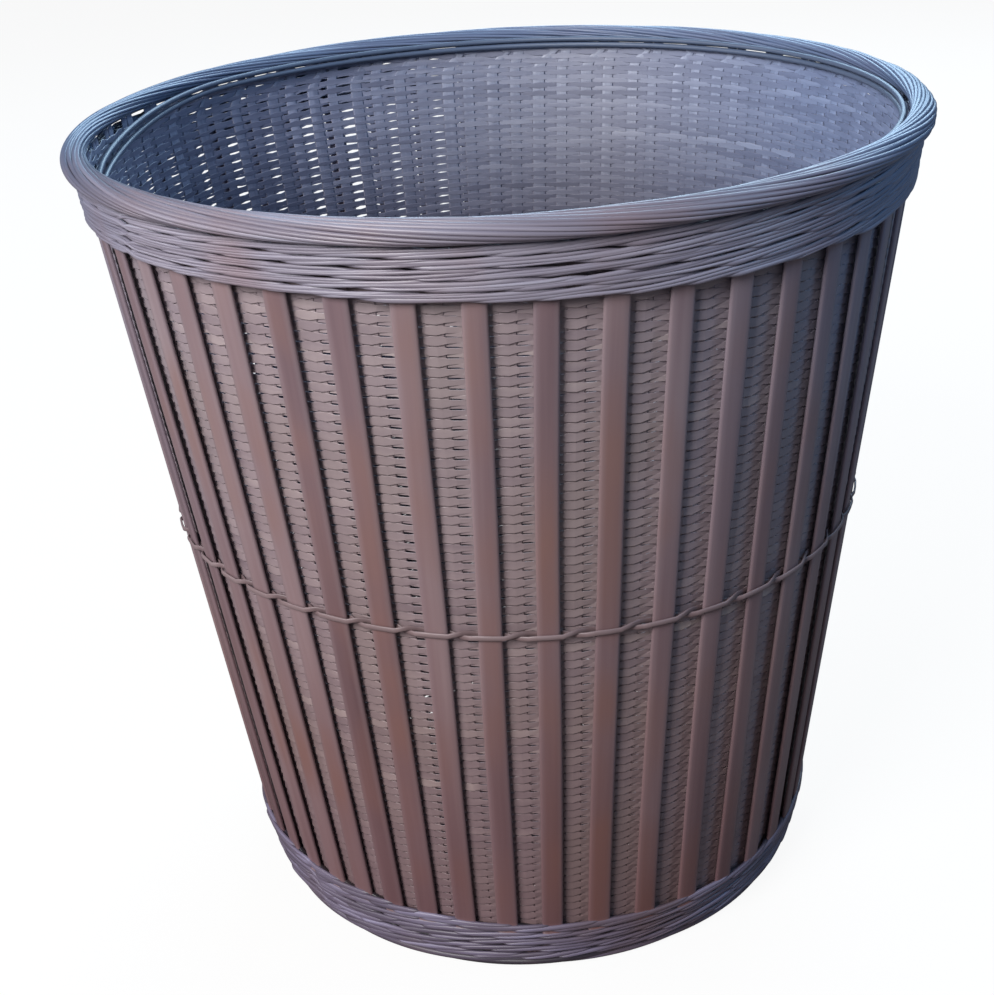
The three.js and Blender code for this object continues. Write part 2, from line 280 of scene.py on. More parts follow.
class Shader:
    """A Principled material under construction, with short calls for the nodes used here."""

    def __init__(self, name):
        self.material = bpy.data.materials.new(name)
        self.material.use_nodes = True
        self.tree = self.material.node_tree
        self.surface = self.tree.nodes["Principled BSDF"]

    def node(self, kind, **settings):
        made = self.tree.nodes.new(kind)
        for key, value in settings.items():
            setattr(made, key, value)
        return made

    def link(self, source, target):
        self.tree.links.new(source, target)

    def attribute(self, name, output):
        return self.node("ShaderNodeAttribute", attribute_name=name).outputs[output]

    def scaled(self, vector, x, y, z):
        mapping = self.node("ShaderNodeMapping")
        mapping.inputs["Scale"].default_value = (x, y, z)
        self.link(vector, mapping.inputs["Vector"])
        return mapping.outputs["Vector"]

    def noise(self, vector, detail=3.0, roughness=0.55):
        made = self.node("ShaderNodeTexNoise")
        made.inputs["Scale"].default_value = 1.0
        made.inputs["Detail"].default_value = detail
        made.inputs["Roughness"].default_value = roughness
        self.link(vector, made.inputs["Vector"])
        return made.outputs["Fac"]

    def span(self, value, low, high, start=0.0, end=1.0):
        made = self.node("ShaderNodeMapRange", clamp=True)
        for key, number in (("From Min", low), ("From Max", high), ("To Min", start), ("To Max", end)):
            made.inputs[key].default_value = number
        self.link(value, made.inputs["Value"])
        return made.outputs["Result"]

    def add(self, one, other):
        made = self.node("ShaderNodeMath", operation="ADD")
        self.link(one, made.inputs[0])
        self.link(other, made.inputs[1])
        return made.outputs[0]

    def ramp(self, value, stops):
        made = self.node("ShaderNodeValToRGB")
        elements = made.color_ramp.elements
        while len(elements) < len(stops):
            elements.new(0.5)
        for element, (place, shade) in zip(elements, stops):
            element.position = place
            element.color = shade
        self.link(value, made.inputs["Fac"])
        return made.outputs["Color"]

    def mixed(self, factor, one, other, blend="MIX"):
        made = self.node("ShaderNodeMix", data_type="RGBA", blend_type=blend)
        self.link(factor, made.inputs["Factor"])
        for socket, source in (("A", one), ("B", other)):
            target = next(s for s in made.inputs if s.name == socket and s.type == "RGBA")
            if isinstance(source, tuple):
                target.default_value = source
            else:
                self.link(source, target)
        return next(s for s in made.outputs if s.type == "RGBA")

    def bump(self, height, strength, distance):
        made = self.node("ShaderNodeBump")
        made.inputs["Strength"].default_value = strength
        made.inputs["Distance"].default_value = distance
        self.link(height, made.inputs["Height"])
        self.link(made.outputs["Normal"], self.surface.inputs["Normal"])


# Painted bluish sky light on the upper part, standing in for blue light and reflections from above, the
# back and the right: its colour, how far x counts beside y, where it comes in from front to back and up the
# wall, in metres, and its share at the very front
SKY_PAINT_BLUE = colour(66, 108, 152)
SKY_PAINT_X_SHARE = 0.3
SKY_PAINT_FRONT = (-0.135, -0.045)
SKY_PAINT_RISE = (0.12, 0.3)
SKY_PAINT_AT_FRONT = 0.15

# Where the painted shade towards the floor is full and where it has faded out, and where a slat's edges
# grey, in metres
LOW_SHADE_SPAN = (0.01, 0.25)
SLAT_EDGE = (0.0018, 0.0041)

# Painted light on the inner side: shade at the left, shade deeper in, a bluish cast at the right and shade
# low down; for each the axis, where the tint is full, where it has faded out, and its colour
INNER_PAINTED_LIGHT = (
    ("X", -0.1, 0.03, colour(206, 210, 226)),
    ("Z", 0.215, 0.28, colour(148, 144, 152)),
    ("X", 0.13, 0.05, colour(212, 230, 254)),
    ("Z", 0.12, 0.19, colour(172, 166, 168)),
)


def rattan(name, stops, streaks, roughness, coat, stain, low, sky_paint_top_share=0.3, inner=None, edge=None):
    """Split rattan. stops shade it from dark to light by its tone and its grain, and streaks gives the
    grain's wavelengths along and across, in metres. stain is a second colour in soft patches, low is
    painted shade that darkens it towards the floor, bloom is the share of painted bluish sky light that the
    top carries, inner colours what looks into the basket and adds painted shade at the left and low down
    and a painted bluish cast at the right, and edge greys the sides."""
    shader = Shader(name)
    grain = shader.attribute("grain", "Vector")
    tone = shader.attribute("tone", "Fac")
    length, width = streaks
    fine = shader.noise(shader.scaled(grain, 1 / length, 1 / width, 1.0))
    broad = shader.noise(shader.scaled(grain, 0.3 / length, 0.25 / width, 1.0), detail=2.0)
    shade = shader.add(tone, shader.add(
        shader.span(fine, 0.25, 0.75, -0.1, 0.1),
        shader.span(broad, 0.3, 0.7, -0.16, 0.16),
    ))
    body = shader.ramp(shade, stops)
    place = shader.node("ShaderNodeTexCoord").outputs["Object"]
    height = shader.node("ShaderNodeSeparateXYZ")
    shader.link(place, height.inputs["Vector"])
    across_x = shader.node("ShaderNodeMath", operation="MULTIPLY_ADD")
    shader.link(height.outputs["X"], across_x.inputs[0])
    across_x.inputs[1].default_value = SKY_PAINT_X_SHARE
    shader.link(height.outputs["Y"], across_x.inputs[2])
    sky_paint_mask = shader.node("ShaderNodeMath", operation="MULTIPLY")
    shader.link(shader.span(across_x.outputs[0], *SKY_PAINT_FRONT, SKY_PAINT_AT_FRONT, 1.0), sky_paint_mask.inputs[0])
    shader.link(shader.span(height.outputs["Z"], *SKY_PAINT_RISE, 0.0, sky_paint_top_share), sky_paint_mask.inputs[1])
    patches = shader.noise(shader.scaled(place, 24, 24, 15), detail=2.0)
    body = shader.mixed(shader.span(patches, 0.45, 0.7, 0.0, 0.75), body, stain)
    if edge:
        across = shader.node("ShaderNodeSeparateXYZ")
        shader.link(grain, across.inputs["Vector"])
        side = shader.node("ShaderNodeMath", operation="ABSOLUTE")
        shader.link(across.outputs["Y"], side.inputs[0])
        body = shader.mixed(shader.span(side.outputs[0], *SLAT_EDGE, 0.0, 0.5), body, edge)
    # Painted shade: every finish is multiplied darker towards the floor
    sink = shader.span(height.outputs["Z"], *LOW_SHADE_SPAN, 1.0, 0.0)
    body = shader.mixed(sink, body, low, "MULTIPLY")
    # Painted bluish sky light over the upper part, weaker at the front and stronger at the back and the
    # right
    body = shader.mixed(sky_paint_mask.outputs[0], body, SKY_PAINT_BLUE)
    if inner:
        inside = shader.ramp(shade, inner)
        # Painted shade at the left, deeper in and low down, and a painted bluish cast at the right, on the
        # inner side
        for axis, start, end, tint in INNER_PAINTED_LIGHT:
            share = shader.span(height.outputs[axis], start, end, 1.0, 0.0)
            inside = shader.mixed(share, inside, tint, "MULTIPLY")
        body = shader.mixed(shader.attribute("inner", "Fac"), body, inside)
    shader.link(body, shader.surface.inputs["Base Color"])
    shader.link(shader.span(fine, 0.2, 0.8, roughness + 0.1, roughness - 0.06),
                shader.surface.inputs["Roughness"])
    shader.surface.inputs["Coat Weight"].default_value = coat
    shader.surface.inputs["Coat Roughness"].default_value = 0.32
    shader.bump(fine, 0.25, 0.0002)
    return shader.material


weave_finish = rattan(
    "weave_finish",
    [(0.0, colour(122, 106, 110)), (0.35, colour(146, 129, 132)), (0.6, colour(160, 143, 144)),
     (0.85, colour(176, 160, 158)), (1.0, colour(194, 180, 174))],
    (0.03, 0.0012), 0.44, 0.25,
    stain=colour(150, 134, 130),
    low=colour(206, 190, 194),
    sky_paint_top_share=0.57,
    inner=[(0.0, colour(110, 112, 130)), (0.5, colour(148, 151, 170)), (1.0, colour(200, 203, 218))],
)
stake_finish = rattan(
    "stake_finish",
    [(0.0, colour(128, 111, 115)), (0.5, colour(154, 137, 139)), (1.0, colour(180, 165, 164))],
    (0.03, 0.0012), 0.42, 0.25,
    stain=colour(148, 132, 128),
    low=colour(206, 190, 194),
    sky_paint_top_share=0.57,
    inner=[(0.0, colour(110, 114, 132)), (0.5, colour(151, 156, 175)), (1.0, colour(204, 207, 222))],
)
slat_finish = rattan(
    "slat_finish",
    [(0.0, colour(108, 84, 87)), (0.4, colour(134, 109, 111)), (0.65, colour(149, 126, 127)),
     (1.0, colour(172, 154, 155))],
    (0.09, 0.0034), 0.42, 0.22,
    stain=colour(148, 111, 99),
    low=colour(204, 182, 187),
    sky_paint_top_share=0.52,
    edge=colour(150, 134, 138),
)
twine_finish = rattan(
    "twine_finish",
    [(0.0, colour(98, 80, 82)), (0.5, colour(130, 111, 112)), (1.0, colour(164, 148, 149))],
    (0.03, 0.001), 0.44, 0.2,
    stain=colour(130, 112, 112),
    low=colour(206, 188, 188),
)
cane_finish = rattan(
    "cane_finish",
    [(0.0, colour(112, 102, 112)), (0.4, colour(138, 129, 141)), (0.7, colour(154, 147, 160)),
     (1.0, colour(184, 182, 198))],
    (0.035, 0.0007), 0.4, 0.25,
    stain=colour(138, 114, 116),
    low=colour(200, 190, 190),
    sky_paint_top_share=0.62,
)
hoop_finish = rattan(
    "hoop_finish",
    [(0.0, colour(78, 80, 92)), (0.5, colour(104, 108, 124)), (1.0, colour(136, 142, 162))],
    (0.04, 0.001), 0.44, 0.15,
    stain=colour(96, 98, 112),
    low=colour(200, 190, 190),
    sky_paint_top_share=0.3,
)
foot_finish = rattan(
    "foot_finish",
    [(0.0, colour(34, 30, 36)), (0.35, colour(90, 82, 93)), (0.7, colour(126, 117, 134)),
     (1.0, colour(164, 160, 182))],
    (0.03, 0.0012), 0.44, 0.22,
    stain=colour(116, 96, 96),
    low=colour(220, 216, 226),
)


# The wall: stakes and weavers
def wall_radius(z):
    return face_radius(z) - WALL_SET_BACK


def add_stakes():
    outline = oval(8, 0.6)
    draw_start = WEAVE_TOP - STAKE_DRAW
    heights = np.concatenate([
        np.linspace(WALL_LOW + 1.2, draw_start, 14),
        np.linspace(draw_start, WEAVE_TOP, 5)[1:],
        [WALL_HIGH + 0.4],
    ])
    j = np.arange(STAKE_COUNT)[:, None]
    angle = stake_angle(j, heights[None, :])
    # The stakes of the gaps draw up beside those of the slats, and leave the openings between
    beside = slat_angle(j // 2, heights[None, :]) + SLAT_STAKE_WIDTH / wall_radius(BASKET_HEIGHT)
    drawn = np.clip((heights - draw_start) / (WEAVE_TOP - draw_start), 0, 1)[None, :]
    drawn = drawn * drawn * (3 - 2 * drawn)
    angle = np.where(j % 2 == 1, angle + drawn * (beside - angle), angle)
    angle = angle - drawn * 0.5 * SLAT_STAKE_WIDTH / wall_radius(BASKET_HEIGHT)
    width = np.where(j % 2 == 1, GAP_STAKE_WIDTH - STAKE_NARROWING * drawn, SLAT_STAKE_WIDTH + 0 * drawn)
    half_width = width / 2 * (1 + 0.04 * random.standard_normal((STAKE_COUNT, 1)))
    heights = np.broadcast_to(heights, angle.shape)
    centre = polar(wall_radius(heights), angle, heights)
    tangent = np.stack([-np.sin(angle), np.cos(angle), 0 * angle], axis=-1)
    outward = np.stack([np.cos(angle), np.sin(angle), 0 * angle], axis=-1)
    sections = (
        centre[:, :, None, :]
        + tangent[:, :, None, :] * (half_width[..., None] * outline[None, None, :, 0])[..., None]
        + outward[:, :, None, :] * (STAKE_DEPTH / 2 * outline[None, None, :, 1])[..., None]
    )
    across = outline[:, 0] * GAP_STAKE_WIDTH / 2 * MM
    tone = 0.5 + 0.08 * random.standard_normal((STAKE_COUNT, 1)) + 0 * angle
    inner = np.where(outline[:, 1] < -0.3, 1.0, 0.0)
    mesh = strand_mesh("wall_stakes", sections, False, heights * MM, across, tone, inner)
    add_piece("wall_stakes", mesh, stake_finish)


def slot_height(angle, level, uneven):
    """Height of the slots beside the gap stakes: tight all round and low down, wider at the front
    and at the upper back left."""
    upper = np.clip((level - 150) / 35, 0, 1)
    raised = np.clip((level - 30) / 40, 0.2, 1) * np.clip((292 - level) / 30, 0.25, 1)
    front = raised * swell(angle, -112, 84) * (0.7 + 0.3 * uneven)
    return -0.25 + front + 1.4 * upper * swell(angle, 134, 58) * uneven


def add_weavers():
    pairs = int((WEAVE_TOP - WALL_LOW - 1.0) / PAIR_PITCH)
    outline = np.array([(1, -0.84), (1, 0.84), (0, 1), (-1, 0.84), (-1, -0.84), (0, -1)])
    j = np.arange(STAKE_COUNT)
    drift = random.uniform(0, TURN, 3)
    column = random.uniform(0.5, 1.25, STAKE_COUNT)
    row_angles = []
    row_radii = []
    row_heights = []
    row_halves = []
    row_tones = []
    for pair in range(pairs):
        top = WEAVE_TOP - pair * PAIR_PITCH
        centre = stake_angle(j, top)
        following = np.append(centre[1:], centre[0] + TURN)
        width = np.where(j % 2 == 1, GAP_STAKE_WIDTH, SLAT_STAKE_WIDTH)
        half = (width / 2 + 0.2) / wall_radius(top)
        between = (centre + following) / 2
        angle = np.stack([centre - half, centre, centre + half, between], axis=-1).ravel()
        side = np.where(j % 2 == 1, 1.0, -1.0)
        swing = np.stack([0.8 * side, side, 0.8 * side, 0 * side], axis=-1).ravel()
        ripple = 0.3 * np.sin(3 * angle + top / 50 + drift[0])
        ripple = ripple + 0.18 * np.sin(7 * angle - top / 31 + drift[1])
        ripple = ripple + 0.05 * random.standard_normal(angle.shape)
        uneven = np.repeat(column * random.uniform(0.65, 1.25, STAKE_COUNT), 4)
        slot = slot_height(angle, top, uneven)
        # Near the rim the rows sag a little at the left, where the hoops hang loose
        sag = 2.0 * swell(angle, 163, 26) * np.clip((top - 280) / 17, 0, 1)
        # Where a row crosses a stake it spreads and covers more of it
        crossing = np.tile([0.6, 1.0, 0.15, 0.0], STAKE_COUNT)
        for inner in (False, True):
            height = PAIR_PITCH - OUTER_ROW_HEIGHT - slot if inner else OUTER_ROW_HEIGHT + 0 * slot
            middle = top - OUTER_ROW_HEIGHT - height / 2 if inner else top - height / 2
            way = -swing if inner else swing
            way = np.where(way < 0, INNER_SWING_SHARE * way, way)
            z = middle + ripple - sag
            cover = crossing * np.where(way < 0, INNER_COVER, OUTER_COVER)
            out = WEAVER_SWING * way + 0.04 * random.standard_normal(angle.shape)
            row_angles.append(angle)
            row_radii.append(wall_radius(z) + out)
            row_heights.append(z)
            row_halves.append(height / 2 + 0.03 + cover)
            pieces = np.cumsum(random.random(angle.shape) < 0.006)
            shades = 0.5 + 0.06 * random.standard_normal(pieces[-1] + 2)
            row_tones.append(np.where(random.random(shades.shape) < 0.04, shades + 0.22, shades)[pieces])
    angle = np.array(row_angles)
    z = np.array(row_heights)
    half_depth = WEAVER_DEPTH / 2 + 0 * z
    sections = swept(angle, np.array(row_radii), z, half_depth, np.array(row_halves), outline)
    along = (angle - FIRST_SLAT) * wall_radius(z) * MM
    across = outline[:, 1] * OUTER_ROW_HEIGHT / 2 * MM
    inner = np.where(outline[:, 0] < -0.5, 1.0, 0.0)
    # The first side and the one opposite face out and in: both are flat
    tone = np.array(row_tones)
    mesh = strand_mesh("wall_weavers", sections, True, along, across, tone, inner, flat=(0, 3))
    add_piece("wall_weavers", mesh, weave_finish, ["woven_wall"])


add_stakes()
add_weavers()


# Slats
def add_slats():
    corners = 14
    outline = oval(corners, 0.55)
    # The outer side is crowned and stands on the face cone, the inner side is flat
    outward = np.where(outline[:, 1] >= 0, -0.45 * SLAT_THICKNESS * (1 - np.abs(outline[:, 1])), 0)
    outward = np.where(outline[:, 1] < 0, -SLAT_THICKNESS * (0.45 + 0.55 * np.abs(outline[:, 1])), outward)
    outward = outward - 0.12 * outline[:, 0] ** 2
    for k in range(SLAT_COUNT):
        name = f"slat_{k + 1:02d}"
        low, high = node_height(name)
        heights = np.linspace(low, high, 40)
        angle = slat_angle(k, heights)
        drift = 0.35 * np.sin(heights / 47 + random.uniform(0, TURN)) * np.sin(
            math.pi * (heights - low) / (high - low))
        width = SLAT_WIDTH * (1 + 0.03 * random.standard_normal()
                              + 0.015 * np.sin(heights / 31 + random.uniform(0, TURN)))
        width = np.minimum(width, SLAT_WIDTH * 1.04)
        centre = polar(face_radius(heights), angle, heights)
        tangent = np.stack([-np.sin(angle), np.cos(angle), 0 * angle], axis=-1)
        radial = np.stack([np.cos(angle), np.sin(angle), 0 * angle], axis=-1)
        side = drift[:, None] + width[:, None] / 2 * outline[None, :, 0]
        sections = (
            centre[:, None, :]
            + tangent[:, None, :] * side[..., None]
            + radial[:, None, :] * outward[None, :, None]
        )[None]
        along = (heights * MM)[None] + k
        across = outline[:, 0] * SLAT_WIDTH / 2 * MM
        drift_tone = 0.07 * np.sin(heights / 24 + random.uniform(0, TURN))
        tone = (0.5 + 0.12 * random.standard_normal() + drift_tone)[None]
        mesh = strand_mesh(name + "_splint", sections, False, along, across, tone)
        add_piece(name + "_splint", mesh, slat_finish, [name])


add_slats()


# Bands of cane laid over the slat ends
def smoothed(values, rounds=1):
    for _ in range(rounds):
        values = (np.roll(values, 1, axis=-1) + 2 * values + np.roll(values, -1, axis=-1)) / 4
    return values


def stake_places(steps, level):
    """Plan angles at an even number of steps from stake to stake, at a level."""
    place = np.arange(STAKE_COUNT * steps) / steps
    stakes = np.arange(STAKE_COUNT + 1)
    return place, np.interp(place, stakes, stake_angle(stakes, level))


def add_upper_band():
    strands = 4
    period = 8
    front = 6
    outline = oval(10, 0.9)
    angles = []
    radii = []
    heights = []
    sizes = []
    tones = []
    for row in range(UPPER_ROWS):
        share = (row + 0.5) / UPPER_ROWS
        place, stake = stake_places(6, UPPER_BAND_LOW + share * (UPPER_BAND_TOP - UPPER_BAND_LOW))
        low = UPPER_BAND_LOW + row_shift(stake, UPPER_BAND_LOW)
        row_height = (UPPER_BAND_TOP - low) / UPPER_ROWS
        level = low + share * (UPPER_BAND_TOP - low)
        for strand in range(strands):
            phase = (place + 2 * strand + 3 * row + wobble(stake, (6, 11, 17), 0.5)) % period
            in_front = phase < front
            fall = 1 - 2 * (phase - front) / (period - front)
            climb = np.where(in_front, 2 * phase / front - 1, fall)
            depth = smoothed(np.where(in_front, 0.45, -0.55), 4)
            reach = face_radius(level) + 1.3
            slope = 0.36 + 0.1 * swell(stake, -45, 70)
            angles.append(stake)
            radii.append(reach + depth + wobble(stake, (3, 7, 11), 0.1))
            heights.append(level + slope * row_height * climb + wobble(stake, (2, 5, 9, 23), 0.16))
            uneven = 1 + 0.12 * random.standard_normal() + wobble(stake, (5, 13, 31), 0.14)
            sizes.append(row_height * 0.195 * uneven)
            tone = 0.5 + 0.08 * random.standard_normal() + wobble(stake, (4, 9, 17), 0.06)
            # Painted shade: a cane is darker where it passes behind and lighter where it lies in front
            tones.append(tone + 0.14 * depth)
    angle = np.array(angles)
    z = smoothed(np.array(heights), 4)
    half = BAND_CANE_DEPTH / 2 + 0 * angle
    sections = swept(angle, np.array(radii), z, half, np.array(sizes), outline)
    along = angle * FACE_TOP * MM
    across = outline[:, 1] * 0.6 * MM
    mesh = strand_mesh("upper_waling", sections, True, along, across, np.array(tones))
    add_piece("upper_waling", mesh, cane_finish, ["upper_waled_band"])


def add_lower_band():
    strands = 3
    period = 6
    front = 4
    outline = oval(12, 0.9)
    crown_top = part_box("lower_waled_band")[1][0] / MM - 1.1
    crown_foot = 111.8
    crown_spread = (crown_top - crown_foot) / (LOWER_BAND_TOP - FOOT_TOP)
    angles = []
    radii = []
    heights = []
    sizes = []
    tones = []
    for row in range(LOWER_ROWS):
        share = (row + 0.5) / LOWER_ROWS
        place, stake = stake_places(6, FOOT_TOP + share * (LOWER_BAND_TOP - FOOT_TOP))
        top = LOWER_BAND_TOP + row_shift(stake, LOWER_BAND_TOP)
        row_height = (top - FOOT_TOP) / LOWER_ROWS
        level = FOOT_TOP + share * (top - FOOT_TOP)
        crown = crown_foot + crown_spread * (level - FOOT_TOP)
        offset = 0.7 * (row % 2) + wobble(stake, (5, 9, 14), 0.4)
        for strand in range(strands):
            phase = (place + 2 * strand + offset) % period
            in_front = phase < front
            fall = 1 - 2 * (phase - front) / (period - front)
            climb = np.where(in_front, 2 * phase / front - 1, fall)
            taper = np.where(in_front, np.sin(math.pi * np.minimum(phase, front) / front) ** 0.5, 0.0)
            depth = smoothed(np.where(in_front, 0.4, -1.1), 3)
            angles.append(stake)
            radii.append(crown - 1.3 + depth + wobble(stake, (3, 7, 11), 0.15))
            heights.append(level + 0.34 * row_height * climb + wobble(stake, (2, 5, 9, 21), 0.2))
            cover = 1.2 if row == LOWER_ROWS - 1 else 1.0
            uneven = 1 + wobble(stake, (6, 13, 27), 0.16)
            sizes.append(cover * row_height * (0.09 + 0.15 * smoothed(taper, 1)) * uneven)
            # Painted shade: a cane is much darker where it dives behind and lighter where it lies in front
            tone = 0.5 + 0.08 * random.standard_normal() + 0.42 * depth
            tones.append(tone + wobble(stake, (4, 9, 17), 0.1))
    angle = np.array(angles)
    z = smoothed(np.array(heights), 3)
    sections = swept(angle, np.array(radii), z, 0.8 + 0 * z, np.array(sizes), outline)
    along = angle * FACE_FOOT * MM
    across = outline[:, 1] * 1.2 * MM
    mesh = strand_mesh("lower_waling", sections, True, along, across, np.array(tones))
    add_piece("lower_waling", mesh, foot_finish, ["lower_waled_band"])


add_upper_band()
add_lower_band()


# The twined row at mid height
def add_twine():
    clear = 0.3
    half_depth = 0.4
    half_height = 0.95
    front = clear + half_depth
    back = -SLAT_THICKNESS - clear - half_depth
    outline = oval(10, 0.8)
    k = np.arange(SLAT_COUNT)
    centre = slat_angle(k, TWINE_HEIGHT)
    following = slat_angle(k + 1, TWINE_HEIGHT)
    dwell = (SLAT_WIDTH / 2 + clear) / face_radius(TWINE_HEIGHT)
    for index, name in enumerate(("twine_strand_a", "twine_strand_b")):
        in_front = (k % 2 == 0) == (index == 0)
        over = np.where(in_front, front, back)
        onward = np.where(in_front, back, front)
        lift = np.where(in_front, 1.0, -1.0)
        angle = np.stack([
            centre - dwell, centre, centre + dwell,
            0.75 * (centre + dwell) + 0.25 * (following - dwell),
            (centre + following) / 2,
            0.25 * (centre + dwell) + 0.75 * (following - dwell),
        ], axis=-1).ravel()
        out = np.stack([
            over, over + 0.05, over,
            0.8 * over + 0.2 * onward,
            (over + onward) / 2,
            0.2 * over + 0.8 * onward,
        ], axis=-1).ravel()
        rise = (lift[:, None] * np.array([0, 0, 0, 0.55, 0.9, 0.55])).ravel()
        z = TWINE_HEIGHT + row_shift(angle, TWINE_HEIGHT) + rise + wobble(angle, (3, 7), 0.1)
        radius = face_radius(z) + out
        ones = np.ones_like(angle)[None]
        # Painted shade: a strand is darker behind the slats and lighter in front of them
        tone = 0.5 + 0.12 * np.sign(out)[None]
        sections = swept(angle[None], radius[None], z[None], half_depth * ones, half_height * ones, outline)
        mesh = strand_mesh(name + "_cane", sections, True, (angle * FACE_TOP * MM)[None],
                           outline[:, 1] * half_height * MM, tone)
        add_piece(name + "_cane", mesh, twine_finish, [name])


add_twine()


# The rope rim
def rim_point(angle, around, drop):
    wide = (RIM_HALF_WIDTH - drop) * np.cos(around)
    tall = (RIM_HALF_HEIGHT - drop) * np.sin(around)
    out = wide * math.cos(RIM_TILT) - tall * math.sin(RIM_TILT)
    up = wide * math.sin(RIM_TILT) + tall * math.cos(RIM_TILT)
    return polar(RIM_RADIUS + out, angle + 0 * out, RIM_MIDDLE + up)


def add_rim():
    steps = 504
    angle = np.arange(steps) * TURN / steps
    outline = oval(8)
    slack = wobble(angle, (2, 3, 5), 0.12)
    darkening = sum(depth * swell(angle, middle, reach) for middle, reach, depth in RIM_DARKER_STRETCHES)
    for ply in range(RIM_PLIES):
        sections = []
        tones = []
        for cane in range(CANES_PER_PLY):
            offset = cane - (CANES_PER_PLY - 1) / 2
            lay = ply * TURN / RIM_PLIES - RIM_TURNS * angle + slack
            spread = 2 * CANE_HALF_WIDTH / np.hypot(
                RIM_HALF_WIDTH * np.sin(lay), RIM_HALF_HEIGHT * np.cos(lay))
            lay = lay + offset * spread + wobble(angle, (5, 9, 14), 0.05)
            tuck = TUCK_UNDER if cane == 0 else 0.06 * offset ** 2
            sink = CANE_HALF_DEPTH + 0.05 + tuck + wobble(angle, (4, 9, 13), 0.09)
            around = lay[:, None] + 0.6 * spread[:, None] * outline[None, :, 0]
            drop = sink[:, None] - CANE_HALF_DEPTH * outline[None, :, 1]
            sections.append(rim_point(angle[:, None], around, np.maximum(drop, 0)))
            tones.append(0.46 - darkening + 0.15 * random.standard_normal() + wobble(angle, (3, 8), 0.05))
        sections = np.array(sections)[:, :, ::-1]
        along = np.broadcast_to(angle * RIM_RADIUS * MM, sections.shape[:2])
        across = outline[::-1, 0] * 1.2 * MM
        name = f"rim_ply_{ply + 1}"
        mesh = strand_mesh(name + "_canes", sections, True, along, across, np.array(tones))
        add_piece(name + "_canes", mesh, cane_finish, [name])


add_rim()


def add_rim_core():
    steps = 120
    angle = np.arange(steps)[:, None] * TURN / steps
    around = np.arange(8)[None, :] * TURN / 8 + 0 * angle
    sections = rim_point(angle, around, CORE_DEPTH)[None]
    along = angle.T * RIM_RADIUS * MM
    across = np.sin(around[0]) * 2 * MM
    mesh = strand_mesh("rim_core_cane", sections, True, along, across, 0.4 + 0 * along)
    add_piece("rim_core_cane", mesh, cane_finish, ["rim_core"])


add_rim_core()


# Hoops inside the top of the wall
def add_hoop(node, height, sag):
    steps = 240
    angle = (np.arange(steps) * TURN / steps)[None]
    hang = swell(angle, SAG_MIDDLE, SAG_REACH)
    z = height - sag * hang
    half = HOOP_CANE / 2
    inner_face = face_radius(z) - WALL_INNER_SIDE
    radius = inner_face - HOOP_WALL_GAP - half + wobble(angle, (3, 5, 8), 0.05)
    outline = oval(10)
    ones = np.ones_like(angle)
    sections = swept(angle, radius, z, half * ones, half * ones, outline)
    along = angle * FACE_TOP * MM
    across = outline[:, 1] * half * MM
    tone = 0.3 + wobble(angle, (3, 8), 0.06)
    mesh = strand_mesh(node + "_cane", sections, True, along, across, tone)
    add_piece(node + "_cane", mesh, hoop_finish, [node])


UPPER_HOOP_HEIGHT = WALL_HIGH + HOOP_CANE / 2
add_hoop("inner_hoop_upper", UPPER_HOOP_HEIGHT, UPPER_HOOP_SAG)
add_hoop("inner_hoop_lower", UPPER_HOOP_HEIGHT - HOOP_CANE - HOOP_SPACING, LOWER_HOOP_SAG)


# The woven bottom: concentric rows over radial spokes
def add_base():
    low, high = node_height("woven_base")
    reach = wall_radius(low) - 0.2
    hub = 8.0
    spoke_depth = 0.9
    spoke_half_width = 2.4
    rise = 1.8
    spokes = SLAT_COUNT
    rows = 30
    middle = (low + high - rise) / 2
    outline = oval(8, 0.6)

    def level(radius):
        return middle + rise * np.clip(1 - radius / reach, 0, 1)

    reaches = np.linspace(hub, reach - 0.3, 12)
    k = np.arange(spokes)[:, None]
    angle = k * TURN / spokes + 0 * reaches[None]
    radius = reaches[None] + 0 * angle
    centre = polar(radius, angle, level(radius))
    tangent = np.stack([-np.sin(angle), np.cos(angle), 0 * angle], axis=-1)
    half = np.minimum(spoke_half_width, 0.42 * TURN / spokes * radius)
    side = (half[..., None] * outline[:, 0])[..., None]
    sections = centre[:, :, None, :] - tangent[:, :, None, :] * side
    sections[..., 2] += spoke_depth / 2 * outline[:, 1]
    across = outline[:, 0] * spoke_half_width * MM
    mesh = strand_mesh("base_spokes", sections, False, radius * MM, across, 0.45 + 0 * radius)
    add_piece("base_spokes", mesh, stake_finish)

    steps = 4 * spokes
    angle = np.arange(steps) * TURN / steps + 0 * np.arange(rows)[:, None]
    pitch = (reach - hub) / rows
    radius = 7.6 + (np.arange(rows)[:, None] + 0.5) * pitch + 0 * angle
    side = np.cos(spokes / 2 * angle + math.pi * np.arange(rows)[:, None])
    z = level(radius) + 0.75 * side
    sections = swept(angle, radius, z, 0.54 * pitch + 0 * z, 0.25 + 0 * z, outline)
    tone = 0.5 + 0.1 * random.standard_normal((rows, 1)) + 0 * z
    across = outline[:, 0] * pitch / 2 * MM
    mesh = strand_mesh("base_rows", sections, True, angle * radius * MM, across, tone)
    add_piece("base_rows", mesh, weave_finish, ["woven_base"])

    angle = np.arange(48)[None] * TURN / 48
    ones = np.ones_like(angle)
    radii = (1.1, 3.0, 4.9, 6.8)
    rings = [
        swept(angle, radius * ones, (level(radius) + 0.5) * ones, 1.05 * ones, 0.5 * ones, outline)[0]
        for radius in radii
    ]
    along = np.repeat(angle, len(radii), axis=0) * 5 * MM
    tone = 0.5 + 0 * along
    mesh = strand_mesh("base_middle", np.array(rings), True, along, outline[:, 0] * MM, tone)
    add_piece("base_middle", mesh, weave_finish)


add_base()


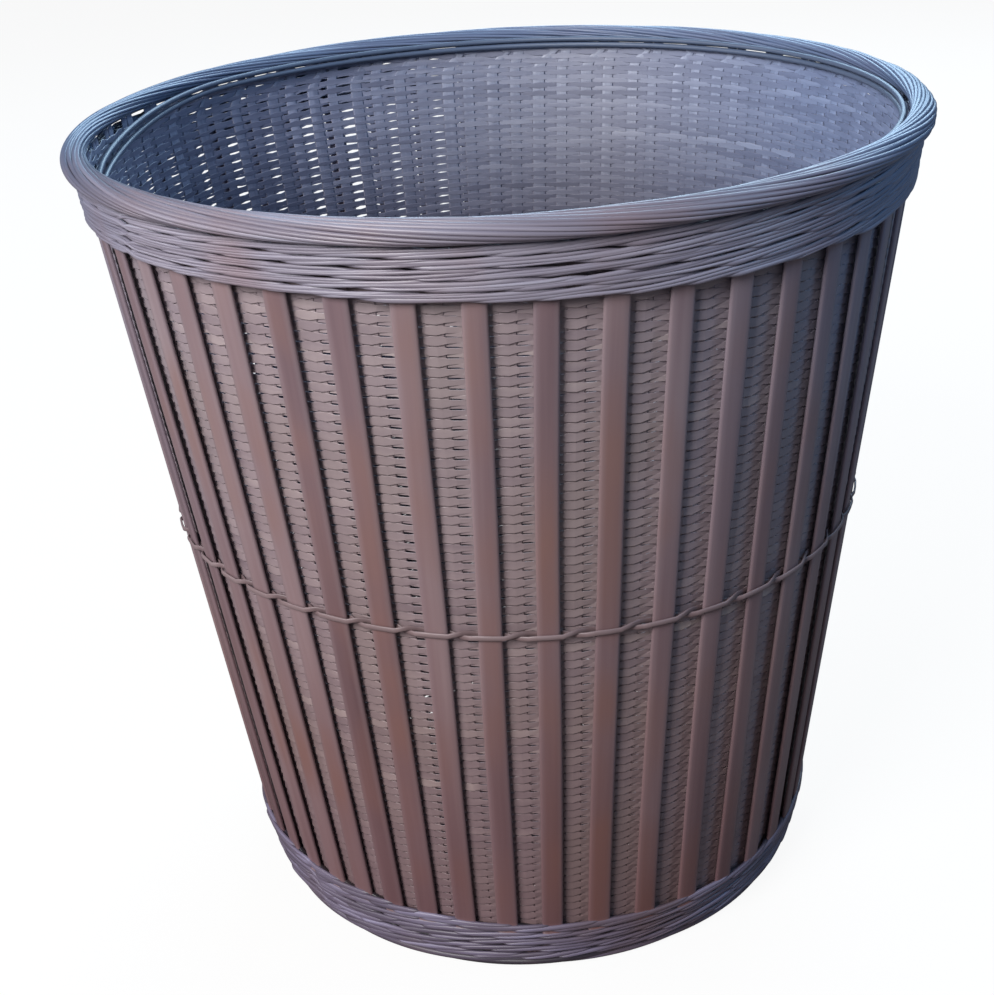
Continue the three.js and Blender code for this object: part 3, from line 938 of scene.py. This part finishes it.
# Rolled foot: canes that turn slowly round each other, flat on the floor
def add_foot():
    low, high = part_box("rolled_foot")
    outer = high[0] / MM
    height = high[2] / MM
    middle = 107.4
    half_depth = 1.75
    half_height = 1.5
    steps = 240
    strands = 4
    turns = 4
    angle = np.arange(steps) * TURN / steps
    outline = oval(10)
    sections = []
    tones = []
    for strand in range(strands):
        lay = turns * angle + strand * TURN / strands
        radius = middle + 1.25 * np.cos(lay)
        z = height / 2 + 0.62 * np.sin(lay)
        ones = np.ones((1, steps))
        ring = swept(angle[None], radius[None], z[None], half_depth * ones, half_height * ones, outline)[0]
        ring[..., 2] = np.clip(ring[..., 2], 0, height)
        sections.append(ring)
        tones.append(0.45 + 0.1 * random.standard_normal() + 0 * angle)
    along = np.broadcast_to(angle * outer * MM, (strands, steps))
    across = outline[:, 1] * half_height * MM
    mesh = strand_mesh("foot_roll", np.array(sections), True, along, across, np.array(tones))
    add_piece("foot_roll", mesh, foot_finish, ["rolled_foot"])


add_foot()


# Camera at the photograph's angle: the place, turn and reach were fitted to the basket's outline
IMAGE_WIDTH = 994
IMAGE_HEIGHT = 995
FOCAL_PIXELS = 1685.0
CAMERA_PLACE = Vector((0, -613.2, 436.2)) * MM
CAMERA_YAW = -0.0134
CAMERA_PITCH = 0.4418
CAMERA_ROLL = -0.061


def add_camera():
    forward = Vector((
        math.sin(CAMERA_YAW) * math.cos(CAMERA_PITCH),
        math.cos(CAMERA_YAW) * math.cos(CAMERA_PITCH),
        -math.sin(CAMERA_PITCH),
    ))
    level = Vector((math.cos(CAMERA_YAW), -math.sin(CAMERA_YAW), 0))
    upward = level.cross(forward)
    right = math.cos(CAMERA_ROLL) * level + math.sin(CAMERA_ROLL) * upward
    up = -math.sin(CAMERA_ROLL) * level + math.cos(CAMERA_ROLL) * upward
    lens = bpy.data.cameras.new("camera")
    lens.sensor_width = 36
    lens.lens = FOCAL_PIXELS / max(IMAGE_WIDTH, IMAGE_HEIGHT) * lens.sensor_width
    lens.clip_start = 0.01
    camera = bpy.data.objects.new("camera", lens)
    camera.matrix_world = Matrix((
        (right.x, up.x, -forward.x, CAMERA_PLACE.x),
        (right.y, up.y, -forward.y, CAMERA_PLACE.y),
        (right.z, up.z, -forward.z, CAMERA_PLACE.z),
        (0, 0, 0, 1),
    ))
    bpy.context.scene.collection.objects.link(camera)
    bpy.context.scene.camera = camera


# Floor and studio light
FLOOR_WHITE = (0.95, 0.91, 0.88, 1)
FLOOR_BOUNCE = (0.16, 0.13, 0.12, 1)
FLOOR_GLOW = 0.92
FLOOR_HALF = 6.0
LAMP_AIM = Vector((0, 0, 0.15))
SKY = (0.62, 0.78, 1.0, 1)
SKY_STRENGTH = 0.17


def add_floor():
    half = FLOOR_HALF
    mesh = bpy.data.meshes.new("floor")
    corners = [(-half, -half, 0), (half, -half, 0), (half, half, 0), (-half, half, 0)]
    mesh.from_pydata(corners, [], [(0, 1, 2, 3)])
    floor = bpy.data.objects.new("floor", mesh)
    bpy.context.scene.collection.objects.link(floor)
    shader = Shader("floor_white")
    shader.surface.inputs["Roughness"].default_value = 0.9
    shader.surface.inputs["Specular IOR Level"].default_value = 0.0
    glow = shader.node("ShaderNodeEmission")
    glow.inputs["Strength"].default_value = 1.0
    path = shader.node("ShaderNodeLightPath")
    paint = shader.mixed(path.outputs["Is Camera Ray"], FLOOR_BOUNCE, FLOOR_WHITE)
    shader.link(paint, shader.surface.inputs["Base Color"])
    seen = shader.node("ShaderNodeMath", operation="MULTIPLY")
    shader.link(path.outputs["Is Camera Ray"], seen.inputs[0])
    seen.inputs[1].default_value = FLOOR_GLOW
    blend = shader.node("ShaderNodeMixShader")
    shader.link(seen.outputs[0], blend.inputs["Fac"])
    shader.link(shader.surface.outputs["BSDF"], blend.inputs[1])
    shader.link(glow.outputs["Emission"], blend.inputs[2])
    output = shader.tree.nodes["Material Output"]
    shader.link(blend.outputs["Shader"], output.inputs["Surface"])
    mesh.materials.append(shader.material)


def add_lamp(name, place, size, power, tint):
    light = bpy.data.lights.new(name, "AREA")
    light.size = size
    light.energy = power
    light.color = tint
    lamp = bpy.data.objects.new(name, light)
    lamp.location = place
    aim = LAMP_AIM - Vector(place)
    lamp.rotation_euler = aim.to_track_quat("-Z", "Y").to_euler()
    bpy.context.scene.collection.objects.link(lamp)


def add_world():
    world = bpy.data.worlds.new("studio")
    bpy.context.scene.world = world
    world.use_nodes = True
    tree = world.node_tree
    sky = tree.nodes["Background"]
    sky.inputs["Color"].default_value = SKY
    sky.inputs["Strength"].default_value = SKY_STRENGTH
    white = tree.nodes.new("ShaderNodeBackground")
    white.inputs["Color"].default_value = (1, 1, 1, 1)
    path = tree.nodes.new("ShaderNodeLightPath")
    blend = tree.nodes.new("ShaderNodeMixShader")
    tree.links.new(path.outputs["Is Camera Ray"], blend.inputs["Fac"])
    tree.links.new(sky.outputs["Background"], blend.inputs[1])
    tree.links.new(white.outputs["Background"], blend.inputs[2])
    tree.links.new(blend.outputs["Shader"], tree.nodes["World Output"].inputs["Surface"])


add_camera()
add_floor()
add_lamp("key", (-1.0, -1.4, 1.35), 0.9, 46, (1.0, 0.98, 0.97))
add_lamp("left", (-1.7, -0.15, 0.7), 0.8, 8, (1.0, 0.97, 0.98))
add_lamp("right", (1.3, -0.35, 1.3), 0.6, 6, (0.35, 0.66, 1.0))
add_lamp("back", (0.35, 1.3, 1.2), 1.2, 26, (0.56, 0.8, 1.0))
add_world()
bpy.context.scene.view_settings.view_transform = "Standard"
